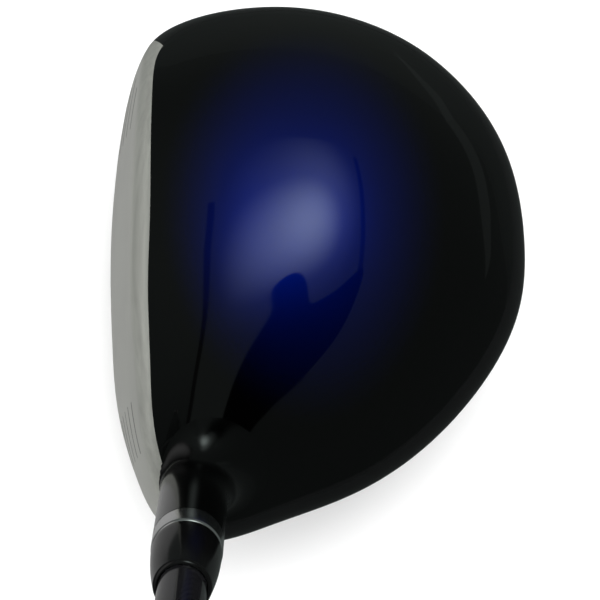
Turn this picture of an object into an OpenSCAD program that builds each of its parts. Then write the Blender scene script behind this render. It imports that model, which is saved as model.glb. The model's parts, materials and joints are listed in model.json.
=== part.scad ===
// Golf driver for a right-handed player, in millimetres.
// The sole rests on z = 0 at address. The face looks along -X, the toe is at +Y,
// and the shaft rises from the heel towards -Y and +Z at the lie angle.

/* [Club] */
// Length along the shaft axis from the ground to the butt end
club_length = 1156; // [1090:1:1220]
// Angle between the shaft axis and the ground
lie_angle = 59; // [58.5:0.5:59.5]

/* [Head] */
// Height of the crown above the ground in the middle of the head
crown_height = 57.8; // [57:0.1:59]
// Thickness of the face cup
face_wall = 2.2; // [1.8:0.1:2.2]
// Thickness of the crown shell
crown_wall = 0.8; // [0.7:0.1:1.2]
// Thickness of the sole shell
sole_wall = 1; // [0.9:0.1:1.5]
// Diameter of the flat badge that the sole rests on
badge_d = 28; // [24:1:30]

/* [Hosel] */
// Outer diameter of the hosel neck and of the ring on it
hosel_d = 13.5; // [13:0.1:14]
// Height of the bright ring at the top of the hosel
ring_h = 5.5; // [4:0.5:6]
// Length of the ferrule
ferrule_length = 14.5; // [12:0.5:20]
// Outer diameter of the ferrule where the shaft leaves it
ferrule_tip_d = 10.8; // [10.6:0.1:12]
// Depth of shaft bonded in the head
insertion = 33; // [30:1:36]

/* [Shaft] */
// Outer diameter of the shaft's parallel tip
shaft_tip_d = 8.9; // [8.5:0.1:8.9]
// Outer diameter of the shaft at its butt
shaft_butt_d = 15.2; // [14.8:0.1:15.8]
// Wall thickness of the shaft
shaft_wall = 1.1; // [0.9:0.1:1.3]

/* [Grip] */
// Length of the rubber grip
grip_length = 268; // [255:1:275]
// Outer diameter of the grip's mouth
grip_mouth_d = 19; // [18.6:0.1:20]
// Outer diameter of the grip's cap
grip_cap_d = 27.2; // [26:0.1:28]
// Diameter of the vent hole through the cap
vent_d = 3.2; // [2.8:0.1:3.6]

/* [Sole weights] */
// Diameter of each removable weight
weight_d = 14.8; // [14:0.1:15]
// Height of each removable weight
weight_h = 5; // [4.5:0.1:5.2]
// Length of screw held by the thread in the port
thread_length = 7; // [6:0.5:8]

/* [Hidden] */
$fn = 64;

// Middle of the head in plan, where the crown is highest
HEAD_MIDDLE = [0, -4];
// Height of the middle of the sole shell above the ground
sole_lift = 0.4;
// How fast the crown falls and the sole rises towards the rim
crown_power = 2.2;
sole_power = 3.6;
// Slope that carries the crown's high point forward, towards the face
crown_tilt = 0.06;
// Outward swell of the face and skirt
wall_bulge = 1.2;
// Length of the rounding at the top edge and at the bottom edge
top_round = 3.4;
bottom_round = 5;

// Stations round the head, from the rear by way of the toe, the face and the heel.
// Each holds a corner of the crown's rim and, below it, a corner of the sole's rim.
STATIONS = [
    [[48.2, -3, 33], [42.5, -3, 17]],
    [[45.8, 14.5, 33], [40.5, 13, 16.5]],
    [[38, 30.5, 32], [33.5, 26.5, 15.5]],
    [[25, 43, 31.5], [22, 37.5, 14.5]],
    [[9, 50, 31.5], [8, 44, 14]],
    [[-6.5, 51.6, 32], [-9, 46, 14]],
    [[-21, 48.5, 34], [-24, 45.5, 14]],
    [[-31, 41, 38.5], [-35.5, 40, 12]],
    [[-33, 28, 48], [-40.5, 28, 7.5]],
    [[-33.3, 12, 54.5], [-42.4, 13, 5]],
    [[-33.4, -4, 57], [-42.8, -3, 4.2]],
    [[-33.2, -20, 57], [-42, -19, 5]],
    [[-32, -36, 54.5], [-40.2, -35, 8]],
    [[-30, -52, 49], [-35, -51, 14]],
    [[-21.5, -65.8, 39], [-25.5, -62, 19]],
    [[-5, -62.8, 35], [-7, -57, 18]],
    [[11.5, -56.5, 34], [9, -50, 17.5]],
    [[26.5, -46.5, 33.5], [23, -41, 17]],
    [[39, -32.5, 33], [34.5, -28.5, 17]],
    [[46.3, -18, 33], [41.3, -16, 17]]
];
station_count = len(STATIONS);

// Columns of the surface grid between two stations
columns_per_station = 4;
columns = station_count * columns_per_station;
// Rows of the surface grid on the crown, on each rounding, on the wall and on the sole
crown_rows = 8;
round_rows = 3;
wall_rows = 4;
sole_rows = 6;
wall_start = crown_rows + round_rows;
sole_start = wall_start + wall_rows + round_rows;
last_row = sole_start + sole_rows;
// The face cup spans these stations, and folds this many rows under the sole
face_first_station = 7;
face_last_station = 13.75;
face_fold_rows = 1;

// Where the shaft axis meets the ground, and places along it measured from there
HOSEL_FOOT = [-21, -29.3, 0];
ring_top = 83.5;
ring_foot = ring_top - ring_h;
shaft_tip = ring_foot - insertion;
// The hosel reaches past the shaft's tip, and is closed at its end
hosel_end = shaft_tip - 5;
hosel_end_wall = 1.5;
cap_h = 6;
shaft_butt = club_length - cap_h;
grip_mouth = club_length - grip_length;

// Thickness of the epoxy round the shaft's tip
bond_gap = 0.15;
bore_r = shaft_tip_d / 2 + bond_gap;
// Tape under the grip
tape_t = 0.4;
tape_length = 250;
// Play between pieces that slide or turn on each other
slip = 0.05;
badge_t = 0.9;

// The weights sit a little below the mouth of their pockets
pocket_depth = weight_h + 0.8;
pocket_r = weight_d / 2 + slip;
port_r = pocket_r + 2.2;
screw_r = 2.45;
screw_head_r = 4.2;
screw_head_h = 2.4;
washer_t = 0.6;
// Gap between the screw's head and its washer, so that the head turns freely
seat_gap = 0.02;
// How far each port stands out of the sole
port_proud = 0.3;
port_end_wall = 1;
// Station and distance out from the middle of each weight port
TOE_PORT = [2.3, 0.68];
HEEL_PORT = [17.6, 0.68];

/* Surface of the head */

// Point on a smooth closed curve through one corner of every station; edge 0 is crown, 1 is sole
function station_point(index, edge) = STATIONS[(index + station_count) % station_count][edge];
function smooth_point(a, b, c, d, t) =
    (2 * b + (c - a) * t + (2 * a - 5 * b + 4 * c - d) * t * t + (3 * b - a - 3 * c + d) * t * t * t) / 2;
function rim_point(u, edge) =
    let (k = floor(u))
    smooth_point(station_point(k - 1, edge), station_point(k, edge),
        station_point(k + 1, edge), station_point(k + 2, edge), u - k);

function flat(p) = [p.x, p.y];
function blend(a, b, t) = a + (b - a) * t;
function bezier(a, b, c, t) = blend(blend(a, b, t), blend(b, c, t), t);
function unit(v) = v / norm(v);

// Crown and sole, at a share of the way out from the middle of the head to the rim
function crown_point(rim, out) =
    let (p = blend(HEAD_MIDDLE, flat(rim), out))
    [p.x, p.y, crown_height + (rim.z - crown_height) * pow(out, crown_power)
        - crown_tilt * p.x * (1 - out * out)];
function sole_point(rim, out) =
    let (p = blend(HEAD_MIDDLE, flat(rim), out))
    [p.x, p.y, sole_lift + (rim.z - sole_lift) * pow(out, sole_power)];

// Face or skirt, at a share of the way down from the crown's rim to the sole's rim
function wall_point(top, bottom, down) =
    let (p = blend(top, bottom, down),
        outward = unit(flat(p) - HEAD_MIDDLE) * wall_bulge * 4 * down * (1 - down))
    [p.x + outward.x, p.y + outward.y, p.z];

// One section of the head, from the middle of the crown over the rim to the middle of the sole
function section(u) =
    let (top = rim_point(u, 0),
        bottom = rim_point(u, 1),
        height = norm(top - bottom),
        crown_end = 1 - top_round / norm(flat(top) - HEAD_MIDDLE),
        sole_end = 1 - bottom_round / norm(flat(bottom) - HEAD_MIDDLE),
        wall_first = top_round / height,
        wall_last = 1 - bottom_round / height,
        a = crown_point(top, crown_end),
        b = wall_point(top, bottom, wall_first),
        c = wall_point(top, bottom, wall_last),
        d = sole_point(bottom, sole_end))
    concat(
        [for (k = [0 : crown_rows - 1]) crown_point(top, crown_end * k / crown_rows)],
        [for (k = [0 : round_rows - 1]) bezier(a, top, b, k / round_rows)],
        [for (k = [0 : wall_rows - 1]) wall_point(top, bottom, blend(wall_first, wall_last, k / wall_rows))],
        [for (k = [0 : round_rows - 1]) bezier(c, bottom, d, k / round_rows)],
        [for (k = [0 : sole_rows]) sole_point(bottom, sole_end * (1 - k / sole_rows))]);

GRID = [for (i = [0 : columns - 1]) section(i / columns_per_station)];

// Outward direction of the surface at a grid point
function grid_point(i, j) = GRID[(i + columns) % columns][j];
function grid_normal(i, j) =
    j == 0 ? [0, 0, 1] :
    j == last_row ? [0, 0, -1] :
    unit(cross(grid_point(i, j + 1) - grid_point(i, j - 1), grid_point(i + 1, j) - grid_point(i - 1, j)));

// The same surface pushed in by a depth; the two poles come first, then the columns
function skin(depth) = concat(
    [grid_point(0, 0) - depth * grid_normal(0, 0)],
    [grid_point(0, last_row) - depth * grid_normal(0, last_row)],
    [for (i = [0 : columns - 1], j = [1 : last_row - 1]) grid_point(i, j) - depth * grid_normal(i, j)]);
function skin_index(i, j) =
    j == 0 ? 0 :
    j == last_row ? 1 :
    2 + ((i + columns) % columns) * (last_row - 1) + j - 1;

// Which cells of the grid belong to each shell
function in_crown(j) = j < crown_rows;
function in_face(i, j) =
    i >= face_first_station * columns_per_station
    && i < face_last_station * columns_per_station
    && j >= crown_rows
    && j < sole_start + face_fold_rows;
function in_shell(shell, i, j) =
    let (column = (i + columns) % columns)
    j < 0 || j >= last_row ? false :
    shell == "crown" ? in_crown(j) :
    shell == "face" ? in_face(column, j) :
    !in_crown(j) && !in_face(column, j);

// A shell of even thickness over its cells, closed along its border
module shell_piece(shell, thickness) {
    inner = len(skin(0));
    corners = function (i, j)
        [skin_index(i, j), skin_index(i + 1, j), skin_index(i + 1, j + 1), skin_index(i, j + 1)];
    triangles = function (q) [
        if (q[0] != q[1]) [q[0], q[1], q[2]],
        if (q[2] != q[3]) [q[0], q[2], q[3]]
    ];
    cells = [for (i = [0 : columns - 1], j = [0 : last_row - 1]) if (in_shell(shell, i, j)) [i, j]];
    // The four neighbours of a cell, in the order of its sides
    beside = [[0, -1], [1, 0], [0, 1], [-1, 0]];
    faces = [
        for (cell = cells)
            let (q = corners(cell[0], cell[1]))
            each concat(
                triangles(q),
                [for (t = triangles(q)) [t[2] + inner, t[1] + inner, t[0] + inner]],
                [for (k = [0 : 3])
                    let (p = q[k], r = q[(k + 1) % 4])
                    if (p != r && !in_shell(shell, cell[0] + beside[k][0], cell[1] + beside[k][1]))
                        each [[r, p, p + inner], [r, p + inner, r + inner]]])
    ];
    polyhedron(concat(skin(0), skin(thickness)), faces, convexity = 6);
}

/* Places */

// Stands a child on the shaft axis, a given distance up from the ground
module on_shaft(along) {
    translate(HOSEL_FOOT)
        rotate([90 - lie_angle, 0, 0])
            translate([0, 0, along])
                children();
}

// Puts a child at a weight port, with +Z pointing out of the sole
module at_port(port) {
    rim = rim_point(port[0], 1);
    place = sole_point(rim, port[1]);
    step = 0.01;
    along = sole_point(rim, port[1] + step) - place;
    across = sole_point(rim_point(port[0] + step, 1), port[1]) - place;
    out = unit(cross(across, along));
    translate(place)
        rotate([0, acos(out.z), atan2(out.y, out.x)])
            children();
}

module tube(outer_r, inner_r, height) {
    difference() {
        cylinder(r = outer_r, h = height);
        translate([0, 0, -1])
            cylinder(r = inner_r, h = height + 2);
    }
}

/* Head shells */

module face_cup() {
    color([0.62, 0.62, 0.6])
        difference() {
            shell_piece("face", face_wall);
            neck_body();
        }
}

module crown_shell() {
    color([0.03, 0.06, 0.3])
        difference() {
            shell_piece("crown", crown_wall);
            neck_body();
        }
}

module sole_shell() {
    port_cut = 24;
    color([0.05, 0.05, 0.06])
        difference() {
            shell_piece("sole", sole_wall);
            neck_body();
            badge_disc(badge_d / 2 + slip);
            for (port = [TOE_PORT, HEEL_PORT])
                at_port(port)
                    cylinder(r = port_r, h = port_cut, center = true);
        }
}

module badge_disc(radius) {
    cylinder(r = radius, h = badge_t);
}

// Flat bonded badge: its underside is the plane that the club rests on
module sole_badge() {
    color([0.7, 0.7, 0.72])
        badge_disc(badge_d / 2);
}

// Welded ribs that stiffen the sole and tune its sound
module sound_ribs() {
    rib_t = 1;
    rib_h = 5;
    first = 0.42;
    last = 0.8;
    steps = 6;
    rib_stations = [0.3, 4, 15.6];
    weld_depth = sole_wall * 0.1;
    color([0.55, 0.55, 0.55])
        for (u = rib_stations) {
            rim = rim_point(u, 1);
            reach = norm(flat(rim) - HEAD_MIDDLE);
            outs = [for (k = [0 : steps]) blend(first, last, k / steps)];
            low = [for (out = outs) [out * reach, sole_point(rim, out).z + sole_wall - weld_depth]];
            high = [for (p = low) p + [0, rib_h]];
            translate(HEAD_MIDDLE)
                rotate([0, 0, atan2(rim.y - HEAD_MIDDLE.y, rim.x - HEAD_MIDDLE.x)])
                    rotate([90, 0, 0])
                        translate([0, 0, -rib_t / 2])
                            linear_extrude(rib_t)
                                polygon(concat(low, [for (k = [steps : -1 : 0]) high[k]]));
        }
}

// Puddle of tacky glue that holds loose crumbs inside the head
module rattle_glue() {
    glue_r = 8;
    glue_h = 2.2;
    dome_r = (glue_r * glue_r + glue_h * glue_h) / (2 * glue_h);
    edge_angle = asin(glue_r / dome_r);
    steps = 8;
    dome = [for (k = [0 : steps])
        let (a = edge_angle * (1 - k / steps))
        [dome_r * sin(a), dome_r * cos(a) - dome_r + glue_h]];
    color([0.85, 0.8, 0.6])
        translate([0, 0, sole_lift + sole_wall])
            rotate_extrude()
                polygon(concat([[0, 0]], dome));
}

/* Hosel and shaft */

// Outline of the cast neck: parallel under the ring, then a concave flare into the head
flare_arc_r = 40;
flare_angle = 20;
flare_top = ring_foot - 12;
neck_r = hosel_d / 2;
flare_r = neck_r + flare_arc_r * (1 - cos(flare_angle));
// Under the shaft's tip the flare narrows to a stem
stem_r = bore_r + 1.4;
shoulder = 2;

module neck_body() {
    steps = 8;
    arc = [for (k = [0 : steps])
        let (a = flare_angle * k / steps)
        [neck_r + flare_arc_r * (1 - cos(a)), flare_top - flare_arc_r * sin(a)]];
    on_shaft(0)
        rotate_extrude()
            polygon(concat([[0, ring_foot], [neck_r, ring_foot]], arc,
                [[flare_r, shaft_tip + shoulder], [stem_r, shaft_tip - shoulder],
                    [stem_r, hosel_end], [0, hosel_end]]));
}

module hosel_neck() {
    color([0.04, 0.04, 0.05])
        difference() {
            neck_body();
            on_shaft(hosel_end + hosel_end_wall)
                cylinder(r = bore_r, h = ring_foot - hosel_end);
        }
}

module hosel_ring() {
    bevel = 0.8;
    color([0.85, 0.85, 0.87])
        on_shaft(ring_foot)
            rotate_extrude()
                polygon([[bore_r, 0], [neck_r, 0], [neck_r, ring_h - bevel],
                    [neck_r - bevel / 2, ring_h], [bore_r, ring_h]]);
}

module ferrule() {
    tip_r = ferrule_tip_d / 2;
    foot_r = neck_r - 0.1;
    straight_h = ferrule_length * 0.3;
    round_r = 0.7;
    corner = [for (a = [0 : 15 : 90])
        [tip_r - round_r + round_r * cos(a), ferrule_length - round_r + round_r * sin(a)]];
    color([0.03, 0.03, 0.03])
        on_shaft(ring_top)
            rotate_extrude()
                polygon(concat([[bore_r + slip, 0], [foot_r, 0], [foot_r, straight_h]],
                    corner, [[bore_r + slip, ferrule_length]]));
}

// Foam plug that closes the bottom of the bore before the shaft is bonded in
module bore_plug() {
    color([0.8, 0.8, 0.75])
        on_shaft(hosel_end + hosel_end_wall)
            cylinder(r = bore_r, h = shaft_tip - hosel_end - hosel_end_wall);
}

module epoxy_bond() {
    color([0.75, 0.7, 0.5])
        on_shaft(shaft_tip)
            tube(bore_r, shaft_tip_d / 2, insertion);
}

// Radius of the shaft at a place along it: parallel in the head, then an even taper
function shaft_r(along) =
    along < ring_top ? shaft_tip_d / 2 :
    blend(shaft_tip_d / 2, shaft_butt_d / 2, (along - ring_top) / (shaft_butt - ring_top));

module shaft() {
    color([0.05, 0.05, 0.06])
        on_shaft(0)
            rotate_extrude()
                polygon([
                    [shaft_r(shaft_tip) - shaft_wall, shaft_tip],
                    [shaft_r(shaft_tip), shaft_tip],
                    [shaft_r(ring_top), ring_top],
                    [shaft_r(shaft_butt), shaft_butt],
                    [shaft_r(shaft_butt) - shaft_wall, shaft_butt],
                    [shaft_r(ring_top) - shaft_wall, ring_top]
                ]);
}

// Cork in the shaft's tip that keeps the epoxy from running up the bore
module tip_cork() {
    cork_h = 10;
    inset = 0.5;
    color([0.7, 0.55, 0.35])
        on_shaft(shaft_tip + inset)
            cylinder(r = shaft_tip_d / 2 - shaft_wall, h = cork_h);
}

/* Grip */

function tape_r(along) = shaft_r(along) + tape_t;

module grip_tape() {
    tape_foot = shaft_butt - tape_length;
    color([0.85, 0.82, 0.7])
        on_shaft(0)
            rotate_extrude()
                polygon([
                    [shaft_r(tape_foot), tape_foot],
                    [tape_r(tape_foot), tape_foot],
                    [tape_r(shaft_butt), shaft_butt],
                    [shaft_r(shaft_butt), shaft_butt]
                ]);
}

module grip_sleeve() {
    mouth_r = grip_mouth_d / 2;
    cap_r = grip_cap_d / 2;
    lip_h = 3;
    lip_depth = 0.8;
    waist_h = grip_length * 0.25;
    swell_h = grip_length * 0.18;
    color([0.08, 0.08, 0.08])
        on_shaft(0)
            rotate_extrude()
                polygon([
                    [tape_r(grip_mouth), grip_mouth],
                    [mouth_r - lip_depth, grip_mouth],
                    [mouth_r, grip_mouth + lip_h],
                    [mouth_r + 0.6, grip_mouth + waist_h],
                    [cap_r - 1.6, shaft_butt - swell_h],
                    [cap_r - 0.4, shaft_butt],
                    [tape_r(shaft_butt), shaft_butt]
                ]);
}

// Hard end cap moulded onto the grip, with the vent hole that lets air out as the grip slides on
module grip_cap() {
    color([0.1, 0.1, 0.1])
        on_shaft(shaft_butt)
            tube(grip_cap_d / 2, vent_d / 2, cap_h);
}

/* Sole weights */

// Threaded port welded into the sole
module weight_port(port) {
    color([0.5, 0.5, 0.52])
        at_port(port)
            difference() {
                translate([0, 0, port_proud - pocket_depth - thread_length - port_end_wall])
                    cylinder(r = port_r, h = pocket_depth + thread_length + port_end_wall);
                translate([0, 0, port_proud - pocket_depth])
                    cylinder(r = pocket_r, h = pocket_depth + 1);
                translate([0, 0, port_proud - pocket_depth - thread_length - 2 * port_end_wall])
                    cylinder(r = screw_r + slip, h = pocket_depth + thread_length);
            }
}

// Dense weight that fills the pocket and is held down by its screw
module weight_slug(port) {
    color([0.75, 0.72, 0.6])
        at_port(port)
            translate([0, 0, port_proud - pocket_depth])
                difference() {
                    cylinder(r = weight_d / 2, h = weight_h);
                    translate([0, 0, -1])
                        cylinder(r = screw_r + slip, h = weight_h + 2);
                    translate([0, 0, weight_h - screw_head_h - washer_t])
                        cylinder(r = screw_head_r + slip, h = screw_head_h + washer_t + 1);
                }
}

// Spring washer under the screw's head
module weight_washer(port) {
    color([0.8, 0.8, 0.82])
        at_port(port)
            translate([0, 0, port_proud - pocket_depth + weight_h - screw_head_h - washer_t])
                tube(screw_head_r, screw_r + slip, washer_t - seat_gap);
}

module weight_screw(port) {
    socket_d = 4.9;
    socket_depth = 1.6;
    color([0.3, 0.3, 0.32])
        at_port(port)
            translate([0, 0, port_proud - pocket_depth + weight_h - screw_head_h])
                difference() {
                    union() {
                        cylinder(r = screw_head_r, h = screw_head_h);
                        translate([0, 0, screw_head_h - weight_h - thread_length])
                            cylinder(r = screw_r, h = weight_h + thread_length);
                    }
                    // Six-pointed driver socket: two crossed triangles
                    translate([0, 0, screw_head_h - socket_depth])
                        for (turn = [0, 60])
                            rotate([0, 0, turn])
                                cylinder(d = socket_d, h = socket_depth + 1, $fn = 3);
                }
}

face_cup();
crown_shell();
sole_shell();
hosel_neck();
hosel_ring();
ferrule();
bore_plug();
epoxy_bond();
shaft();
tip_cork();
grip_tape();
grip_sleeve();
grip_cap();
sole_badge();
sound_ribs();
rattle_glue();
weight_port(TOE_PORT);  // toe_weight_port
weight_slug(TOE_PORT);  // toe_weight_slug
weight_washer(TOE_PORT);  // toe_weight_washer
weight_screw(TOE_PORT);  // toe_weight_screw
weight_port(HEEL_PORT);  // heel_weight_port
weight_slug(HEEL_PORT);  // heel_weight_slug
weight_washer(HEEL_PORT);  // heel_weight_washer
weight_screw(HEEL_PORT);  // heel_weight_screw
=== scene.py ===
"""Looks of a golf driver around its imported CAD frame. Lengths are in metres unless a name ends in _mm."""
import json
import math

import bpy
import numpy as np
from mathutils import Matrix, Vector
from mathutils.bvhtree import BVHTree


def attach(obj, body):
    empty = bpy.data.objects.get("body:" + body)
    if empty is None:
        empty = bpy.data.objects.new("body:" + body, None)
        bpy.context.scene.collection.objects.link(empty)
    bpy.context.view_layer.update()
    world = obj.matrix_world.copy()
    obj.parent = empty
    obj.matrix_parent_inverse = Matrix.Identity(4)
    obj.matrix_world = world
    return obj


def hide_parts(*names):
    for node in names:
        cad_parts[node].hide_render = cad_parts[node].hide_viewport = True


MM = 0.001
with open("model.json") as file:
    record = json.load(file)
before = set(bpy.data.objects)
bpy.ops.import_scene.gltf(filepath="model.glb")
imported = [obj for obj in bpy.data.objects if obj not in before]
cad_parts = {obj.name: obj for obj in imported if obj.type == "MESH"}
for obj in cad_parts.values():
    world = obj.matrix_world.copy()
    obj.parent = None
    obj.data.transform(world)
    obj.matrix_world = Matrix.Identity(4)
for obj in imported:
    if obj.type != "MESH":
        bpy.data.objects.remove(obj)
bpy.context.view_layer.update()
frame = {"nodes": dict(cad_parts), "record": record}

# ---------------------------------------------------------------- places taken from the design

LIE = math.radians(59)
SHAFT_UP = Vector((0, -math.cos(LIE), math.sin(LIE)))
REAR = Vector((1, 0, 0))
HOSEL_FOOT = Vector((-21, -29.3, 0)) * MM

# Radii and thicknesses along the shaft's axis, in millimetres
NECK_R = 6.75
BORE_R = 4.6
TIP_R = 4.45
BUTT_R = 7.6
SHAFT_WALL = 1.1
TAPE_THICKNESS = 0.4
CAP_R = 13.6
VENT_R = 1.6

# Heights up the shaft's axis, in millimetres
SHAFT_TIP = 45
RING_FOOT = 78
RING_TOP = 83.5
FERRULE_TOP = 98
GRIP_MOUTH = 888
SHAFT_BUTT = 1150
CLUB_LENGTH = 1156

# The head's own sizes, in millimetres
HEAD_MIDDLE = np.array([0.0, -4.0])
CROWN_HEIGHT = 57.8
SOLE_LIFT = 0.4
CROWN_POWER = 2.2
SOLE_POWER = 3.6
CROWN_TILT = 0.06
WALL_BULGE = 1.2
TOP_ROUND = 3.4
BOTTOM_ROUND = 5.0

# Corners of the crown's rim and of the sole's rim in millimetres, from the rear round by way of the toe
CROWN_RIM = [
    (48.2, -3, 33), (45.8, 14.5, 33), (38, 30.5, 32), (25, 43, 31.5), (9, 50, 31.5),
    (-6.5, 51.6, 32), (-21, 48.5, 34), (-31, 41, 38.5), (-33, 28, 48), (-33.3, 12, 54.5),
    (-33.4, -4, 57), (-33.2, -20, 57), (-32, -36, 54.5), (-30, -52, 49), (-21.5, -65.8, 39),
    (-5, -62.8, 35), (11.5, -56.5, 34), (26.5, -46.5, 33.5), (39, -32.5, 33), (46.3, -18, 33),
]
SOLE_RIM = [
    (42.5, -3, 17), (40.5, 13, 16.5), (33.5, 26.5, 15.5), (22, 37.5, 14.5), (8, 44, 14),
    (-9, 46, 14), (-24, 45.5, 14), (-35.5, 40, 12), (-40.5, 28, 7.5), (-42.4, 13, 5),
    (-42.8, -3, 4.2), (-42, -19, 5), (-40.2, -35, 8), (-35, -51, 14), (-25.5, -62, 19),
    (-7, -57, 18), (9, -50, 17.5), (23, -41, 17), (34.5, -28.5, 17), (41.3, -16, 17),
]

# Grid of the head: columns round it, 16 between two corners, and rows from the crown down to the sole
PER_STATION = 16
COLUMNS = len(CROWN_RIM) * PER_STATION
CROWN_ROWS = 44
ROUND_ROWS = 8
WALL_ROWS = 26
SOLE_ROWS = 40
WALL_START = CROWN_ROWS + ROUND_ROWS
SOLE_START = WALL_START + WALL_ROWS + ROUND_ROWS
LAST_ROW = SOLE_START + SOLE_ROWS
UNDERSIDE_ROW = SOLE_START + 2

# The face runs from corner 7, at the toe, to just before corner 14, at the heel, and folds under the sole
FACE_FIRST = 7 * PER_STATION
FACE_LAST = int(13.75 * PER_STATION)
FACE_FOLD_ROWS = 6

# Smooth fit of the crown's height; places are divided by about half the head's size, in millimetres
CROWN_SAMPLES = 24
FIT_DEGREE = 7
FIT_REACH_X = 50
FIT_REACH_Y = 60

# Edges bent more than this stay crisp
CRISP_ANGLE = math.radians(32)


# ---------------------------------------------------------------- surface of the head

def smooth_loop(points, u):
    """Points at the stations u on the closed cubic spline through the given corners."""
    corners = np.array(points, float)
    count = len(corners)
    system = 4 * np.eye(count) + np.roll(np.eye(count), 1, 0) + np.roll(np.eye(count), -1, 0)
    bends = np.linalg.solve(system, 6 * (np.roll(corners, 1, 0) - 2 * corners + np.roll(corners, -1, 0)))
    first = np.floor(u).astype(int)
    t = (u - first)[:, None]
    k = first % count
    after = (first + 1) % count
    chord = (1 - t) * corners[k] + t * corners[after]
    return chord + (((1 - t) ** 3 - (1 - t)) * bends[k] + (t ** 3 - t) * bends[after]) / 6


def unit(vectors):
    return vectors / np.linalg.norm(vectors, axis=-1, keepdims=True)


def plain_crown(rim, out):
    """The design's crown, at a share of the way out from the middle to the rim."""
    xy = HEAD_MIDDLE + out * (rim[:, :2] - HEAD_MIDDLE)
    z = CROWN_HEIGHT + (rim[:, 2] - CROWN_HEIGHT) * out[:, 0] ** CROWN_POWER
    return np.column_stack([xy, z - CROWN_TILT * xy[:, 0] * (1 - out[:, 0] ** 2)])


def sole_at(rim, out):
    """The sole, at a share of the way out from the middle to its rim."""
    xy = HEAD_MIDDLE + out * (rim[:, :2] - HEAD_MIDDLE)
    return np.column_stack([xy, SOLE_LIFT + (rim[:, 2] - SOLE_LIFT) * out[:, 0] ** SOLE_POWER])


def wall_at(top, bottom, down):
    """The bulging wall, at a share of the way down from the crown's rim to the sole's."""
    place = top + down * (bottom - top)
    place[:, :2] += unit(place[:, :2] - HEAD_MIDDLE) * WALL_BULGE * 4 * down * (1 - down)
    return place


def bezier(a, p1, p2, b, t):
    """A place on the cubic curve from a to b that leaves towards p1 and arrives from p2."""
    return (1 - t) ** 3 * a + 3 * t * (1 - t) ** 2 * p1 + 3 * t * t * (1 - t) * p2 + t ** 3 * b


def powers(xy):
    """All products of x and y up to a degree, for a smooth fit of the crown's height."""
    x = xy[:, 0] / FIT_REACH_X
    y = xy[:, 1] / FIT_REACH_Y
    return np.column_stack([x ** i * y ** j for i in range(FIT_DEGREE + 1)
                            for j in range(FIT_DEGREE + 1 - i)])


class HeadSurface:
    """Grid of points on the head: one column per direction, rows from crown middle to sole middle."""

    def __init__(self):
        u = np.arange(COLUMNS) / PER_STATION
        self.top = smooth_loop(CROWN_RIM, u)
        self.bottom = smooth_loop(SOLE_RIM, u)
        self.crown_end = 1 - TOP_ROUND / np.linalg.norm(self.top[:, :2] - HEAD_MIDDLE, axis=1)[:, None]
        self.sole_end = 1 - BOTTOM_ROUND / np.linalg.norm(self.bottom[:, :2] - HEAD_MIDDLE, axis=1)[:, None]
        height = np.linalg.norm(self.top - self.bottom, axis=1)[:, None]
        self.wall_first = TOP_ROUND / height
        self.wall_last = 1 - BOTTOM_ROUND / height
        self.fit_crown()
        self.grid = self.build_rows()

    def fit_crown(self):
        """One polynomial for the whole crown keeps the curvature of the paint even."""
        samples = np.vstack([plain_crown(self.top, self.crown_end * k / CROWN_SAMPLES)
                             for k in range(1, CROWN_SAMPLES + 1)])
        self.fit = np.linalg.lstsq(powers(samples[:, :2]), samples[:, 2], rcond=None)[0]
        rim = plain_crown(self.top, self.crown_end)
        self.rim_error = rim[:, 2] - powers(rim[:, :2]) @ self.fit

    def crown_at(self, share):
        """Crown points at a share of the way to its border."""
        xy = HEAD_MIDDLE + share * self.crown_end * (self.top[:, :2] - HEAD_MIDDLE)
        return np.column_stack([xy, powers(xy) @ self.fit + self.rim_error * share ** 6])

    def rounding(self, a, before_a, b, after_b, length, steps):
        """Rows of a smooth bend from a to b that leaves and arrives along its neighbours."""
        pull = 0.6 * length
        p1 = a + unit(a - before_a) * pull
        p2 = b - unit(after_b - b) * pull
        return [bezier(a, p1, p2, b, k / steps) for k in range(steps)]

    def wall(self, down):
        return wall_at(self.top, self.bottom, down)

    def sole(self, out):
        return sole_at(self.bottom, out)

    def build_rows(self):
        """All the rows, from the crown's middle over the walls to the sole's middle."""
        step = 0.01
        wall_height = self.wall_last - self.wall_first
        crown_rows = [self.crown_at(k / CROWN_ROWS) for k in range(CROWN_ROWS)]
        top_bend = self.rounding(self.crown_at(1), self.crown_at(1 - step), self.wall(self.wall_first),
                                 self.wall(self.wall_first + step), TOP_ROUND, ROUND_ROWS)
        wall_rows = [self.wall(self.wall_first + wall_height * k / WALL_ROWS) for k in range(WALL_ROWS)]
        low_bend = self.rounding(self.wall(self.wall_last), self.wall(self.wall_last - step),
                                 self.sole(self.sole_end), self.sole(self.sole_end - step),
                                 BOTTOM_ROUND, ROUND_ROWS)
        sole_rows = [self.sole(self.sole_end * (1 - k / SOLE_ROWS)) for k in range(SOLE_ROWS + 1)]
        return np.stack(crown_rows + top_bend + wall_rows + low_bend + sole_rows, axis=1)


HEAD = HeadSurface()


def index_of(i, j):
    """Vertex number of a grid point; the two poles are shared by every column."""
    if j == 0:
        return 0
    if j == LAST_ROW:
        return 1
    return 2 + (i % COLUMNS) * (LAST_ROW - 1) + j - 1


def head_vertices():
    """The two poles first, then the columns one after another, in metres."""
    between = HEAD.grid[:, 1:LAST_ROW].reshape(-1, 3)
    return np.vstack([HEAD.grid[:1, 0], HEAD.grid[:1, LAST_ROW], between]) * MM


def cell(i, j):
    """The face between two columns and two rows, a triangle at a pole."""
    ring = [index_of(i, j), index_of(i, j + 1), index_of(i + 1, j + 1), index_of(i + 1, j)]
    return list(dict.fromkeys(ring))


def in_crown(i, j):
    return j < CROWN_ROWS


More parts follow.
